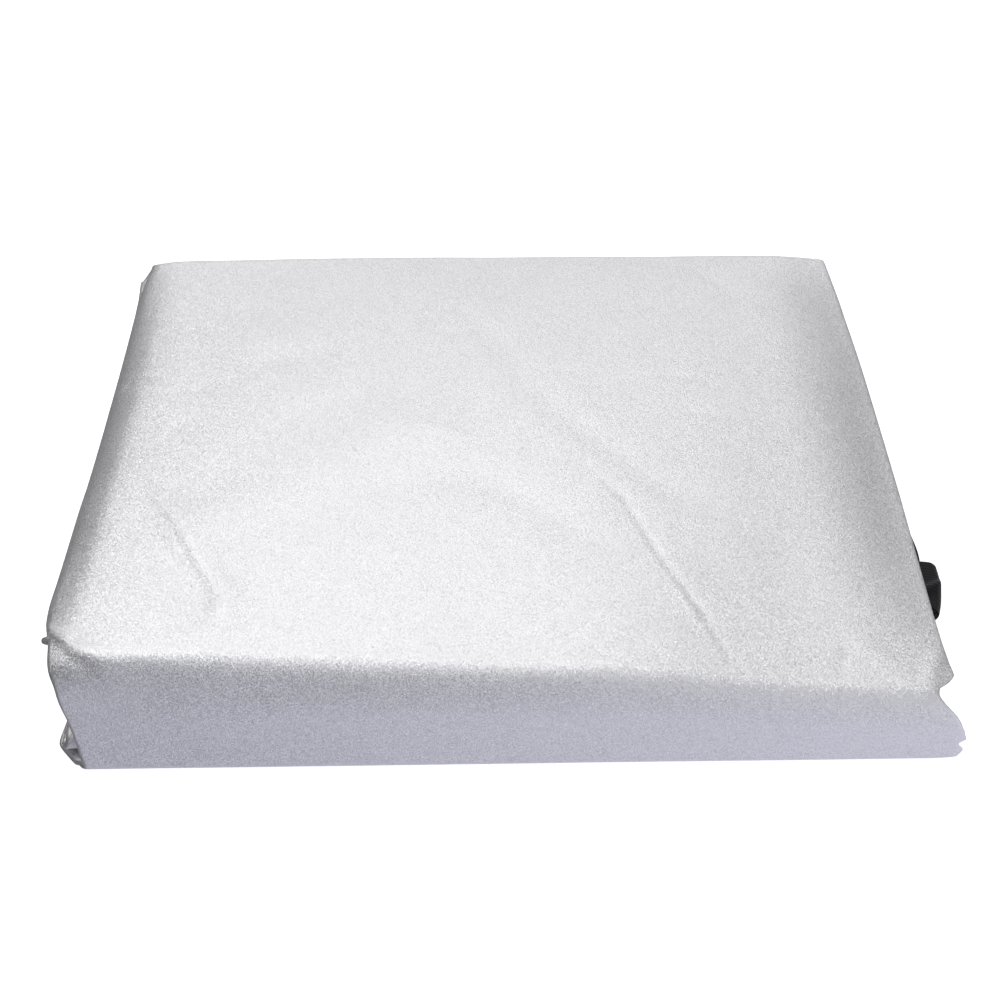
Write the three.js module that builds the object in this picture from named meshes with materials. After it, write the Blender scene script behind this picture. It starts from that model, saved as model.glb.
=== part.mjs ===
// A patio furniture cover of silver-coated cloth, folded back and forth into a flat bundle, with
// its black webbing strap showing between the layers at the right-hand side.
//
// Millimetres, +Z up and +X to the right. The bundle stands on Z = 0 with its front bend towards
// -Y. Seen from the right, the cloth starts inside, runs back, turns up into the top layer, comes
// forward over the bundle, bends down its front and back under it, and then goes to and fro
// between the bottom and the start.

import * as THREE from "three";

// Driving dimensions
const FRONT = -152.7; // face of the front bend, half way across
const BACK = 149.5; // where the back folds start to turn
const LAYERS = 12;
const CLOTH_SHARE = 0.7; // share of a layer's pitch that is cloth, the rest is air
const SIDE_BEND = 0.21; // the front bend along its side folds, as a share of the height
const BOTTOM_BEND = 0.65; // radius of the bend under the front, in layer thicknesses
const BOTTOM_BEND_UP = 0.1; // share of the height where that bend ends
const SKEW = 0.02; // how far the front runs back for each millimetre to the right
const FOLD_CLEARANCE = 1.2; // between the front bend and the folds behind it
const TURN_ROUNDING = 1; // how much narrower the cloth is at the outside of a turn
const STRAP_LAYER = 4; // the layer that the strap lies on
const STRAP_THICKNESS = 1.5;
const STRAP_CLEARANCE = 0.3;

// Rows of numbers as objects with named columns
function table(columns, rows) {
  return rows.map((row) => Object.fromEntries(columns.map((name, n) => [name, row[n]])));
}

// Height of the top, from the left side to the right, at the back, the middle and the front
const HEIGHTS = table(["x", "back", "middle", "front"], [
  [-196, 54, 53, 58],
  [-186, 57, 58, 62],
  [-174, 59.5, 62.5, 63.5],
  [-140, 60.5, 64.5, 61.5],
  [-100, 61, 65, 57.5],
  [-40, 61, 65, 53],
  [0, 60.5, 64, 50.5],
  [40, 60.5, 62.5, 49],
  [70, 60, 61, 46],
  [100, 60, 59, 41.5],
  [130, 59.5, 56, 38],
  [165, 59.5, 53, 36],
  [182, 57, 50, 35],
  [202, 52, 45, 32],
]);

// Side folds of the top layer, from its front to its back
const TOP_EDGES = table(["y", "left", "right"], [
  [-146, -183.8, 184],
  [-139.4, -184.9, 189.5],
  [-136, -185.9, 191.6],
  [-134, -187, 192.1],
  [-132.3, -190.4, 192],
  [-130.6, -188.4, 191.6],
  [-128.6, -187.2, 191.3],
  [-120, -190, 190.4],
  [-106, -191.2, 189.8],
  [-90, -191.3, 189.4],
  [-20, -191.3, 187],
  [60, -191.9, 182.4],
  [117, -191.6, 178.4],
  [135, -191.3, 176.8],
  [152, -190.2, 174.8],
]);

// Side folds of the front, from the floor to the top, by share of the height
const FRONT_EDGES = table(["up", "left", "right"], [
  [0, -179, 187],
  [0.04, -177, 190],
  [0.08, -176.9, 194],
  [0.15, -177.3, 195.7],
  [0.27, -177.8, 196.2],
  [0.38, -178.2, 195.4],
  [0.43, -178.4, 196.7],
  [0.5, -178.7, 196.7],
  [0.6, -179.3, 195.6],
  [0.71, -180.4, 194.2],
  [0.79, -181, 193],
  [0.875, -181.9, 191.6],
  [0.925, -182.8, 189],
  [0.96, -183.4, 186],
  [1, -183.8, 184],
]);

// Side folds of the bottom layer, whose left front corner sticks out aslant
const BOTTOM_EDGES = table(["y", "left", "right"], [
  [-151, -178.2, 188],
  [-148.5, -181.4, 189],
  [-143.4, -185.8, 190],
  [-137.6, -190, 189.6],
  [-131, -190, 189.5],
  [-115, -188.5, 190],
  [0, -185, 191],
  [150, -183, 183],
]);

// Side folds of the layers between them, the lowest first
const LAYER_COLUMNS = ["leftFront", "leftMiddle", "leftBack", "rightFront", "rightMiddle", "rightBack"];
const LAYER_EDGES = table(LAYER_COLUMNS, [
  [-186.3, -187, -185, 191, 192, 184],
  [-184.8, -186, -184, 191.5, 193, 184],
  [-182.8, -187, -186, 190.5, 191, 183],
  [-178, -186, -185, 178, 163, 181],
  [-178, -185, -183, 176, 162, 180],
  [-179, -187, -186, 185, 187, 182],
  [-180, -188, -187, 185.5, 189, 182],
  [-180, -186, -184, 183, 186, 180],
  [-180, -187, -185, 183.5, 184, 178],
  [-180, -190, -195, 184, 183, 176],
]);

// How far the front bend reaches back and down, as shares of the height, left to right
const FRONT_BENDS = table(["x", "reach", "drop"], [
  [-190, 0.18, 0.2],
  [-150, 0.21, 0.24],
  [-100, 0.26, 0.28],
  [-40, 0.3, 0.32],
  [40, 0.32, 0.35],
  [100, 0.33, 0.37],
  [150, 0.34, 0.4],
  [200, 0.3, 0.36],
]);

// How the top rolls over at its sides, from the front to the back: drop at the fold and width
const SIDE_ROLLS = table(["y", "leftDrop", "leftWidth", "rightDrop", "rightWidth"], [
  [-150, 0, 14, 0, 40],
  [-125, 0.6, 14, 0.5, 40],
  [-90, 1.6, 18, 3, 44],
  [0, 2.6, 24, 5.5, 50],
  [90, 3, 26, 6, 50],
  [130, 2.4, 24, 4.5, 46],
  [152, 1, 20, 0.8, 40],
]);

// How far each back fold reaches out, and how far each fold at the front is tucked in behind the
// front bend, the lowest fold first
const BACK_REACH = [-3, 1, -4, -1, 2, 1];
const FRONT_TUCK = [2, 5, 1, 6, 4];

// Depths along a layer where the cloth is shaped, and those of the bottom and the top layer
const LAYER_DEPTHS = [-90, -30, 30, 90];
const BOTTOM_DEPTHS = [-148, -143.4, -137.6, -131, ...LAYER_DEPTHS];
const TOP_DEPTHS = [-133.8, -132.3, -130.6, -126, -117, -90, -45, 0, 50, 100, 135];

// Steps of the bends in degrees, and places on the front between its bends, by share
const FRONT_BEND_STEPS = [0, 15, 30, 45, 60, 75, 90];
const FRONT_FACE_STEPS = [0.2, 0.45, 0.7];
const BOTTOM_BEND_STEPS = [0, 30, 60, 90];
const TURN_STEPS = [-66, -33, 0, 33, 66];

// Places across the cloth: near a side fold by the distance from it, elsewhere by share of the
// width. Girth is the share of the thickness that the rounded side fold has there.
const SIDE_PLACES = table(["inset", "girth"], [
  [0, 0.3],
  [0.7, 0.75],
  [2.2, 1],
  [9, 1],
  [20, 1],
]);
const MIDDLE_SHARES = [0.15, 0.26, 0.37, 0.48, 0.59, 0.7, 0.8, 0.88];

// The strap as lines across it, from its hidden start to its hidden end. Each line joins the two
// edges of the strap, up is measured from the cloth below it, and bow is how far the line's middle
// stands out to the right.
const STRAP_LINES = table(["x1", "y1", "up1", "x2", "y2", "up2", "bow"], [
  [169.5, -16, 3.2, 195.6, -18.5, 3.2, 0],
  [169.5, -32, 3.2, 197.4, -36.5, 3, 0],
  [169, -42, 3.2, 195.4, -58, 2.7, 0],
  [168.8, -45.4, 3.5, 194.2, -70.4, 2.7, 0],
  [168.1, -46, 4.6, 193.4, -72.4, 3.5, 0],
  [168.8, -45.4, 5.7, 194, -72, 4.4, 0],
  [174, -44.9, 6, 195.2, -72.1, 4.5, 0],
  [186, -44.5, 6.3, 196, -72.4, 4.6, 0.3],
  [198, -44.3, 6.4, 197.2, -73.2, 4.5, 0.8],
  [201.9, -44.9, 5.9, 198.7, -74, 3.8, 1.4],
  [203.2, -46.6, 4.2, 199.2, -75, 2.7, 1.6],
  [202, -48.8, 2, 197.6, -76.4, 1.4, 1.2],
  [199, -50.4, 0.9, 194.6, -78, 0.9, 0.6],
  [181.6, -56, 0.8, 180, -83, 0.8, 0],
]);

// Places across the strap, by share of its width
const STRAP_SHARES = [0, 0.25, 0.5, 0.75, 1];

function clamp(value, low, high) {
  return Math.min(Math.max(value, low), high);
}

function mix(from, to, share) {
  return from + (to - from) * share;
}

// A smooth curve through one column of a table whose rows rise in the key column
function smooth(rows, key, column, place) {
  const last = rows.length - 1;
  const at = clamp(place, rows[0][key], rows[last][key]);
  let upper = 1;
  while (upper < last && at > rows[upper][key]) {
    upper += 1;
  }
  const slope = (n) => {
    const before = rows[Math.max(n - 1, 0)];
    const after = rows[Math.min(n + 1, last)];
    return (after[column] - before[column]) / (after[key] - before[key]);
  };
  const a = rows[upper - 1];
  const b = rows[upper];
  const span = b[key] - a[key];
  const s = (at - a[key]) / span;
  const bulge = s * (1 - s) * span;
  const straight = mix(a[column], b[column], s * s * (3 - 2 * s));
  return straight + bulge * ((1 - s) * slope(upper - 1) - s * slope(upper));
}

// The value at a depth of three that are given for the front, the middle and the back
function acrossDepth(y, front, middle, back) {
  const s = clamp(y / BACK, -1, 1);
  return (front * s * (s - 1)) / 2 + middle * (1 - s * s) + (back * s * (s + 1)) / 2;
}

function topHeight(x, y) {
  const column = (name) => smooth(HEIGHTS, "x", name, x);
  return acrossDepth(y, column("front"), column("middle"), column("back")) - sideRoll(x, y);
}

// How far the top lies lower near its side folds
function sideRoll(x, y) {
  const roll = (side, inset) => {
    const share = clamp(1 - inset / smooth(SIDE_ROLLS, "y", `${side}Width`, y), 0, 1);
    return smooth(SIDE_ROLLS, "y", `${side}Drop`, y) * share * share;
  };
  const fromLeft = x - smooth(TOP_EDGES, "y", "left", y);
  const fromRight = smooth(TOP_EDGES, "y", "right", y) - x;
  return roll("left", fromLeft) + roll("right", fromRight);
}

function clothThickness(x, y) {
  return (CLOTH_SHARE * topHeight(x, y)) / LAYERS;
}

// Middle of the cloth in layer 1 at the bottom to LAYERS at the top, or between two layers
function layerHeight(layer, x, y) {
  const thickness = clothThickness(x, y);
  return thickness / 2 + ((layer - 1) * (topHeight(x, y) - thickness)) / (LAYERS - 1);
}

function layerPitch(x, y) {
  return layerHeight(2, x, y) - layerHeight(1, x, y);
}

function foldsAt(rows, key, place) {
  return { left: smooth(rows, key, "left", place), right: smooth(rows, key, "right", place) };
}

function sideFolds(layer, y) {
  if (layer === LAYERS) {
    return foldsAt(TOP_EDGES, "y", y);
  }
  if (layer === 1) {
    return foldsAt(BOTTOM_EDGES, "y", y);
  }
  const row = LAYER_EDGES[layer - 2];
  return {
    left: acrossDepth(y, row.leftFront, row.leftMiddle, row.leftBack),
    right: acrossDepth(y, row.rightFront, row.rightMiddle, row.rightBack),
  };
}

// A line across the cloth has its two side folds, and its depth and height for a place across
function layerLine(layer, y) {
  return { ...sideFolds(layer, y), place: (x) => [y + SKEW * x, layerHeight(layer, x, y)] };
}

// How far the front bend reaches back and down
function frontBend(x) {
  const height = topHeight(x, FRONT);
  const reach = smooth(FRONT_BENDS, "x", "reach", x) * height;
  return { reach, drop: smooth(FRONT_BENDS, "x", "drop", x) * height };
}

// The depth of the front cloth's middle at a height, where its bend leans back
function frontDepth(x, height) {
  const { reach, drop } = frontBend(x);
  const rise = clamp((height - layerHeight(LAYERS, x, FRONT)) / drop + 1, 0, 1);
  return FRONT + clothThickness(x, FRONT) / 2 + reach * (1 - Math.sqrt(1 - rise * rise));
}

// The front bend from the top layer down, a quarter turn
function frontBendLines() {
  return FRONT_BEND_STEPS.map((degrees) => {
    const angle = THREE.MathUtils.degToRad(degrees);
    return {
      ...foldsAt(FRONT_EDGES, "up", 1 - SIDE_BEND * (1 - Math.cos(angle))),
      place: (x) => {
        const { reach, drop } = frontBend(x);
        const depth = FRONT + clothThickness(x, FRONT) / 2 + reach * (1 - Math.sin(angle));
        return [depth + SKEW * x, layerHeight(LAYERS, x, depth) - drop * (1 - Math.cos(angle))];
      },
    };
  });
}

// The front face between its two bends, from the top down
function frontFaceLines() {
  return FRONT_FACE_STEPS.map((share) => ({
    ...foldsAt(FRONT_EDGES, "up", mix(1 - SIDE_BEND, BOTTOM_BEND_UP, share)),
    place: (x) => {
      const top = layerHeight(LAYERS, x, FRONT) - frontBend(x).drop;
      const height = mix(top, BOTTOM_BEND_UP * topHeight(x, FRONT), share);
      return [frontDepth(x, height) + SKEW * x, height];
    },
  }));
}

// The tight bend from the front face to the bottom layer
function bottomBendLines() {
  return BOTTOM_BEND_STEPS.map((degrees) => {
    const angle = THREE.MathUtils.degToRad(degrees);
    return {
      ...foldsAt(FRONT_EDGES, "up", BOTTOM_BEND_UP * (1 - Math.sin(angle))),
      place: (x) => {
        const thickness = clothThickness(x, FRONT);
        const radius = BOTTOM_BEND * thickness;
        const depth = FRONT + thickness / 2 + radius * (1 - Math.cos(angle));
        return [depth + SKEW * x, thickness / 2 + radius * (1 - Math.sin(angle))];
      },
    };
  });
}

// A half turn between two neighbouring layers, out to the back or to the front
function turnLines(from, to, side) {
  const lower = Math.min(from, to);
  const reach = side > 0 ? BACK_REACH[(lower - 1) / 2] : 0;
  const nominal = side > 0 ? BACK + reach : FRONT;
  const start = sideFolds(from, nominal);
  const end = sideFolds(to, nominal);
  return TURN_STEPS.map((degrees) => {
    const angle = THREE.MathUtils.degToRad(degrees);
    const share = (1 + Math.sin(angle)) / 2;
    const layer = mix(from, to, share);
    const rounding = TURN_ROUNDING * Math.cos(angle);
    return {
      left: mix(start.left, end.left, share) + rounding,
      right: mix(start.right, end.right, share) - rounding,
      place: (x) => {
        const centre = side > 0 ? nominal : foldStart(lower, x);
        const out = (side * Math.cos(angle) * layerPitch(x, nominal)) / 2;
        return [centre + out + SKEW * x, layerHeight(layer, x, nominal)];
      },
    };
  });
}

// Where the turn at the front of a layer and the next one up starts, clear of the front bend
function foldStart(layer, x) {
  const thickness = clothThickness(x, FRONT);
  const wall = frontDepth(x, layerHeight(layer + 1, x, FRONT) + thickness / 2);
  const tuck = FRONT_TUCK[layer / 2 - 1];
  return wall + thickness + FOLD_CLEARANCE + layerPitch(x, FRONT) / 2 + tuck;
}

// A straight run of a layer, front to back, with its front end where the fold there starts
function innerRun(layer) {
  const frontLayer = layer % 2 === 0 ? layer : layer - 1;
  const folds = sideFolds(layer, FRONT);
  const front = {
    ...folds,
    place: (x) => [foldStart(frontLayer, x) + SKEW * x, layerHeight(layer, x, FRONT)],
  };
  return [front, ...LAYER_DEPTHS.map((y) => layerLine(layer, y)), backEnd(layer)];
}

function backEnd(layer) {
  const y = BACK + BACK_REACH[Math.floor((layer - 1) / 2)];
  return { ...sideFolds(layer, y), place: (x) => [y + SKEW * x, layerHeight(layer, x, y)] };
}

// All the lines across the cloth, in the order in which the cloth is folded
function clothLines() {
  const lines = [...innerRun(LAYERS - 1), ...turnLines(LAYERS - 1, LAYERS, 1), backEnd(LAYERS)];
  lines.push(...TOP_DEPTHS.map((y) => layerLine(LAYERS, y)).reverse());
  lines.push(...frontBendLines(), ...frontFaceLines(), ...bottomBendLines());
  lines.push(...BOTTOM_DEPTHS.map((y) => layerLine(1, y)), backEnd(1));
  for (let layer = 2; layer < LAYERS - 1; layer += 1) {
    const forward = layer % 2 === 0;
    const run = innerRun(layer);
    lines.push(...turnLines(layer - 1, layer, forward ? 1 : -1));
    lines.push(...(forward ? run.reverse() : run));
  }
  return lines;
}

function placesAcross(line) {
  const width = line.right - line.left;
  const left = SIDE_PLACES.map(({ inset, girth }) => ({ x: line.left + inset, girth }));
  const middle = MIDDLE_SHARES.map((share) => ({ x: line.left + share * width, girth: 1 }));
  const right = SIDE_PLACES.map(({ inset, girth }) => ({ x: line.right - inset, girth }));
  return [...left, ...middle, ...right.reverse()];
}

// Closed body of a ribbon: rings[place][line] holds the two faces' points there
function ribbonGeometry(rings) {
  const places = rings.length;
  const lines = rings[0].length;
  const positions = rings.flat(2).flatMap((point) => point.toArray());
  const corner = (place, line, face) => (place * lines + line) * 2 + face;
  const index = [];
  const quad = (a, b, c, d) => index.push(a, b, c, a, c, d);
  for (let place = 0; place < places - 1; place += 1) {
    for (let line = 0; line < lines - 1; line += 1) {
      const across = [corner(place, line, 0), corner(place + 1, line, 0)];
      const next = [corner(place, line + 1, 0), corner(place + 1, line + 1, 0)];
      quad(across[0], across[1], next[1], next[0]);
      quad(next[0] + 1, next[1] + 1, across[1] + 1, across[0] + 1);
    }
    const start = [corner(place, 0, 0), corner(place + 1, 0, 0)];
    const end = [corner(place, lines - 1, 0), corner(place + 1, lines - 1, 0)];
    quad(start[1], start[0], start[0] + 1, start[1] + 1);
    quad(end[0], end[1], end[1] + 1, end[0] + 1);
  }
  for (let line = 0; line < lines - 1; line += 1) {
    const left = [corner(0, line, 0), corner(0, line + 1, 0)];
    const right = [corner(places - 1, line, 0), corner(places - 1, line + 1, 0)];
    quad(left[0], left[1], left[1] + 1, left[0] + 1);
    quad(right[1], right[0], right[0] + 1, right[1] + 1);
  }
  const geometry = new THREE.BufferGeometry();
  geometry.setAttribute("position", new THREE.Float32BufferAttribute(positions, 3));
  geometry.setIndex(index);
  geometry.computeVertexNormals();
  return geometry;
}

// The two faces of the cloth at each line of one place across it
function clothRing(lines, placeNumber) {
  const middles = lines.map((line) => {
    const { x, girth } = placesAcross(line)[placeNumber];
    const [y, z] = line.place(x);
    return { girth, point: new THREE.Vector3(x, y, z) };
  });
  return middles.map(({ girth, point }, n) => {
    const before = middles[Math.max(n - 1, 0)].point;
    const after = middles[Math.min(n + 1, middles.length - 1)].point;
    const along = new THREE.Vector2(after.y - before.y, after.z - before.z).normalize();
    const half = (girth * clothThickness(point.x, point.y)) / 2;
    const offset = new THREE.Vector3(0, -along.y * half, along.x * half);
    const faces = [point.clone().add(offset), point.clone().sub(offset)];
    return faces.map((face) => restOnFloor(face, girth, half));
  });
}

// The underside is flat where it lies on the floor
function restOnFloor(face, girth, half) {
  const touches = girth === 1 && face.z < half / 2;
  return touches ? face.setZ(0) : face;
}

function foldedCover() {
  const lines = clothLines();
  const placeNumbers = placesAcross(lines[0]).map((_, number) => number);
  const rings = placeNumbers.map((number) => clothRing(lines, number));
  const material = new THREE.MeshStandardMaterial({ color: 0xc9c9cf, roughness: 0.42, metalness: 0.55 });
  const cover = new THREE.Mesh(ribbonGeometry(rings), material);
  cover.name = "folded_cover";
  return cover;
}

// Top of the layer that the strap lies on
function strapBed(x, y) {
  return layerHeight(STRAP_LAYER, x, y) + clothThickness(x, y) / 2 + STRAP_CLEARANCE;
}

function strapRing(share) {
  const middles = STRAP_LINES.map(({ x1, y1, up1, x2, y2, up2, bow }) => {
    const x = mix(x1, x2, share) + 4 * bow * share * (1 - share);
    const y = mix(y1, y2, share);
    return new THREE.Vector3(x, y, strapBed(x, y) + mix(up1, up2, share));
  });
  return middles.map((point, n) => {
    const along = middles[Math.min(n + 1, middles.length - 1)].clone();
    along.sub(middles[Math.max(n - 1, 0)]);
    const line = STRAP_LINES[n];
    const across = new THREE.Vector3(line.x2 - line.x1, line.y2 - line.y1, line.up2 - line.up1);
    const offset = along.cross(across).setLength(STRAP_THICKNESS / 2);
    return [point.clone().sub(offset), point.clone().add(offset)];
  });
}

function strap() {
  const rings = STRAP_SHARES.map(strapRing);
  const material = new THREE.MeshStandardMaterial({ color: 0x17181a, roughness: 0.6, metalness: 0 });
  const webbing = new THREE.Mesh(ribbonGeometry(rings), material);
  webbing.name = "webbing_strap";
  return webbing;
}

const bundle = new THREE.Group();
bundle.add(foldedCover(), strap());

// The origin is under the middle of the bundle's box, at the floor
const extent = new THREE.Box3().setFromObject(bundle);
const centre = extent.getCenter(new THREE.Vector3());
bundle.position.set(-centre.x, -centre.y, 0);
bundle.updateMatrixWorld(true);

export default bundle;
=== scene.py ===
# A patio furniture cover of silver-coated cloth, folded back and forth into a flat bundle, with
# its black webbing strap showing between the layers. The thin cloth with its folds, creases and
# weave stands here for the solids of the CAD model, in the same frame.
#
# Shapes are worked out in millimetres, with the front bend towards -Y, and set down in metres.

import math
from collections import namedtuple

import bpy
import numpy as np
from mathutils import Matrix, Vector, noise


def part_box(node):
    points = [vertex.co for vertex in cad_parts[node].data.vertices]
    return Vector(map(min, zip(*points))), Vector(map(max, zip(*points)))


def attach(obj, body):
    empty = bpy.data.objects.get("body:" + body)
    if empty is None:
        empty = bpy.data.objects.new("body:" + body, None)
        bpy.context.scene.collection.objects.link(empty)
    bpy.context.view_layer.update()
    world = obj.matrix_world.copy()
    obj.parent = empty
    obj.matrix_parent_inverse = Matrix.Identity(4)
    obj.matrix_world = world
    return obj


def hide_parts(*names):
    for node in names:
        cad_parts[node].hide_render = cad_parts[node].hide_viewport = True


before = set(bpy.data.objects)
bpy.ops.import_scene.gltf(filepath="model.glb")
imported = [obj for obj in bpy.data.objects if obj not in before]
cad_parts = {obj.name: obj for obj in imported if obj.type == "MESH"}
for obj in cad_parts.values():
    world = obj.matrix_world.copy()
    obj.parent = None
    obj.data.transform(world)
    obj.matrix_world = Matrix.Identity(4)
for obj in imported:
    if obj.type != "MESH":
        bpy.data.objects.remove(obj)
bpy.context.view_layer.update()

bl_info = {
    "name": "Folded patio furniture cover",
    "version": (1, 0, 0),
    "blender": (4, 5, 0),
    "location": "3D View > Sidebar > Cover",
    "description": "Folds a furniture cover with its strap, and sets up the studio around it",
    "category": "Object",
}

MM = 0.001


def table(columns, rows):
    """Rows of numbers as arrays by the name of their column."""
    return {name: np.array([row[n] for row in rows], float) for n, name in enumerate(columns)}


# Height of the top, from the left side to the right, at the back, the middle and the front
HEIGHTS = table(("x", "back", "middle", "front"), (
    (-196, 57, 53, 58),
    (-186, 59, 58, 62),
    (-174, 60.2, 62.5, 63.5),
    (-140, 60.5, 64.5, 61.5),
    (-100, 61, 65, 57.5),
    (-40, 61, 65, 53),
    (0, 60.5, 64, 50.5),
    (40, 60.5, 62.5, 49),
    (70, 60, 61, 46),
    (100, 60, 59, 41.5),
    (130, 60.2, 56, 38),
    (165, 61.8, 53, 36),
    (182, 60, 50, 35),
    (202, 52, 45, 32),
))

# Side folds of the top layer, from its front to its back
TOP_EDGES = table(("y", "left", "right"), (
    (-146, -183.8, 182),
    (-142, -184.4, 185.4),
    (-139.4, -184.9, 188.6),
    (-136, -185.9, 191.4),
    (-134.6, -189.6, 192.1),
    (-133, -193, 192.1),
    (-131, -190.4, 191.8),
    (-129, -187.6, 191.4),
    (-120, -190, 190.4),
    (-106, -191.8, 189.8),
    (-90, -192, 189.4),
    (-40, -192.3, 188),
    (-20, -191.9, 187.4),
    (60, -191.9, 183.6),
    (117, -191.8, 179.4),
    (135, -191, 177.4),
    (152, -188, 175),
))

# Side folds of the front, from the floor to the top, by share of the height
FRONT_EDGES = table(("up", "left", "right"), (
    (0, -179.6, 186),
    (0.04, -177.4, 187.2),
    (0.08, -176.9, 193.8),
    (0.15, -177.3, 196.5),
    (0.27, -177.8, 196.9),
    (0.33, -178, 195.2),
    (0.38, -178.2, 194.6),
    (0.43, -178.4, 195.6),
    (0.5, -178.7, 197.4),
    (0.6, -179.3, 196.6),
    (0.71, -180.4, 195.8),
    (0.79, -181, 194.8),
    (0.875, -181.9, 192.2),
    (0.925, -183.6, 189),
    (0.96, -184.6, 186),
    (0.985, -185.2, 184),
    (0.9975, -185.8, 184),
    (1, -186.3, 184.6),
))

# Side folds of the bottom layer, whose left front corner sticks out aslant
BOTTOM_EDGES = table(("y", "left", "right"), (
    (-151, -179, 188),
    (-148.5, -181.4, 189),
    (-143.4, -185.8, 190),
    (-137.6, -190, 189.6),
    (-131, -190, 189.5),
    (-115, -188.5, 190),
    (0, -185, 191),
    (150, -183, 183),
))

# Side folds of the layers between them, the lowest first
LAYER_EDGES = table(
    ("left_front", "left_middle", "left_back", "right_front", "right_middle", "right_back"), (
        (-187.2, -187, -185, 191, 192, 184),
        (-185.2, -186, -184, 191.5, 193, 184),
        (-182.8, -187, -186, 190.5, 191, 183),
        (-178, -186, -185, 178, 163, 181),
        (-178, -185, -183, 176, 162, 180),
        (-179, -187, -186, 185, 187, 182),
        (-180, -188, -187, 185.5, 189, 182),
        (-180, -186, -184, 183, 186, 180),
        (-180, -187, -185, 183.5, 184, 178),
        (-180, -190, -195, 184, 183, 176),
    ),
)

# How far the front bend reaches back and down, as shares of the height, left to right
FRONT_BENDS = table(("x", "reach", "drop"), (
    (-190, 0.35, 0.24),
    (-184, 0.29, 0.26),
    (-178, 0.22, 0.3),
    (-172, 0.17, 0.35),
    (-160, 0.145, 0.42),
    (-148, 0.16, 0.45),
    (-130, 0.185, 0.44),
    (-100, 0.22, 0.41),
    (-40, 0.23, 0.37),
    (40, 0.235, 0.37),
    (100, 0.25, 0.37),
    (150, 0.27, 0.4),
    (200, 0.27, 0.36),
))

# How the top rolls over at its sides, from the front to the back: drop at the fold and width
SIDE_ROLLS = table(("y", "left_drop", "left_width", "right_drop", "right_width"), (
    (-150, 0, 14, 0, 44),
    (-125, 0.7, 16, 1, 46),
    (-90, 1.8, 22, 3.8, 52),
    (0, 3, 28, 6.5, 58),
    (90, 3.2, 30, 7, 58),
    (130, 2, 26, 6.2, 60),
    (152, 0.6, 20, 4.2, 60),
))

# The fat left fold of the top layer, front to back: the room that it takes from the layers below
# it, and how far in its rounding reaches
FAT_FOLD = table(("y", "room", "round"), (
    (-136, 0, 2),
    (-120, 1.5, 3.5),
    (-95, 3, 5.5),
    (-30, 5, 8.5),
    (60, 6, 9.5),
    (135, 5.5, 9),
    (152, 3, 6),
))
FAT_FOLD_REACH = 13

# How far each back fold reaches out, and how far each fold at the front is tucked in behind the
# front bend, the lowest fold first
BACK_REACH = (-3, 1, -4, -1, 2, 1)
FRONT_TUCK = (2, 5, 1, 6, 4)

# The strap as lines across it, from its hidden start to its hidden end. Each line joins the two
# edges of the strap, up is measured from the cloth below it, and bow is how far the line's middle
# stands out to the right.
STRAP_LINES = table(("x1", "y1", "up1", "x2", "y2", "up2", "bow"), (
    (169.5, -16, 3.2, 195.6, -18.5, 3.2, 0),
    (169.5, -32, 3.2, 197.4, -36.5, 3, 0),
    (169, -42, 3.2, 195.4, -58, 2.7, 0),
    (168.8, -45.4, 3.5, 194.2, -70.4, 2.7, 0),
    (168.1, -46, 4.6, 193.4, -72.4, 3.5, 0),
    (168.8, -45.4, 5.7, 194, -72, 4.4, 0),
    (174, -44.9, 6, 195.2, -72.1, 4.5, 0),
    (186, -44.5, 6.3, 196, -72.4, 4.6, 0.3),
    (198, -44.3, 6.4, 197.2, -73.2, 4.5, 0.8),
    (201.9, -44.9, 5.9, 198.7, -74, 3.8, 1.4),
    (203.2, -46.6, 4.2, 199.2, -75, 2.7, 1.6),
    (202, -48.8, 2, 197.6, -76.4, 1.4, 1.2),
    (199, -50.4, 0.9, 194.6, -78, 0.9, 0.6),
    (181.6, -56, 0.8, 180, -83, 0.8, 0),
))

# The crease slanting over the strap where it shows: height, its share across at the first of its
# lines and for each line on, half width as a share, and the lines between which it shows
StrapCrease = namedtuple("StrapCrease", "height start slant width first last")
STRAP_CREASE = StrapCrease(1.6, 0.85, -0.11, 0.1, 5.5, 11.5)

STRAP_PLACES_ALONG = 150
STRAP_PLACES_ACROSS = 41

# Depth where the top's lines start to fan out towards the front bend, depths where the runs of the
# inner layers and of the bottom layer start behind it, and how far back the bottom layer has fine
# steps
FAN_START = -112
INNER_START = -130
BOTTOM_START = -148
BOTTOM_FINE_END = -130

# Shares of the height: where the front face meets its bottom bend, and how much of the front's side
# folds the front bend takes from the top
BOTTOM_BEND_UP = 0.1
SIDE_BEND = 0.21

# How sharply the top rolls over at the right, and how the inner side folds wander: over which
# depth, and how far apart the layers and the two sides are in the noise that they follow
RIGHT_ROLL_POWER = 1.5
WANDER_DEPTH = 34
WANDER_BY_LAYER = 5.3
WANDER_BY_SIDE = 9.1

# Lines over a half turn between two layers, the angle where they start and end, and the steps
# round the bend under the front
TURN_LINES = 9
TURN_ANGLE = 75
BOTTOM_BEND_STEPS = 6

# The cloth across the strip: thickness of a ply, how high the flaps and their hem lie in a layer,
# from -1 inside to 1 outside, and how round the folds are
PLY = 0.35
LEFT_FLAP_LIFT = -1
RIGHT_FLAP_LIFT = 0
HEM_LIFT = -0.7
HEM_ROUND = 0.4
FOLD_ROUND = 2
RIGHT_FOLD_ROUND = 2.4

# Where the points of the flaps are: inset of their free edges and insets of points from a side
# fold, shares of the way across, and width of the hem
FLAP_INSET = 8
FLAP_INSETS = (3.5, 7, 14, 24)
FLAP_SHARES = (0.12, 0.24, 0.36, 0.5, 0.64, 0.76, 0.88)
HEM_WIDTH = 15

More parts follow.
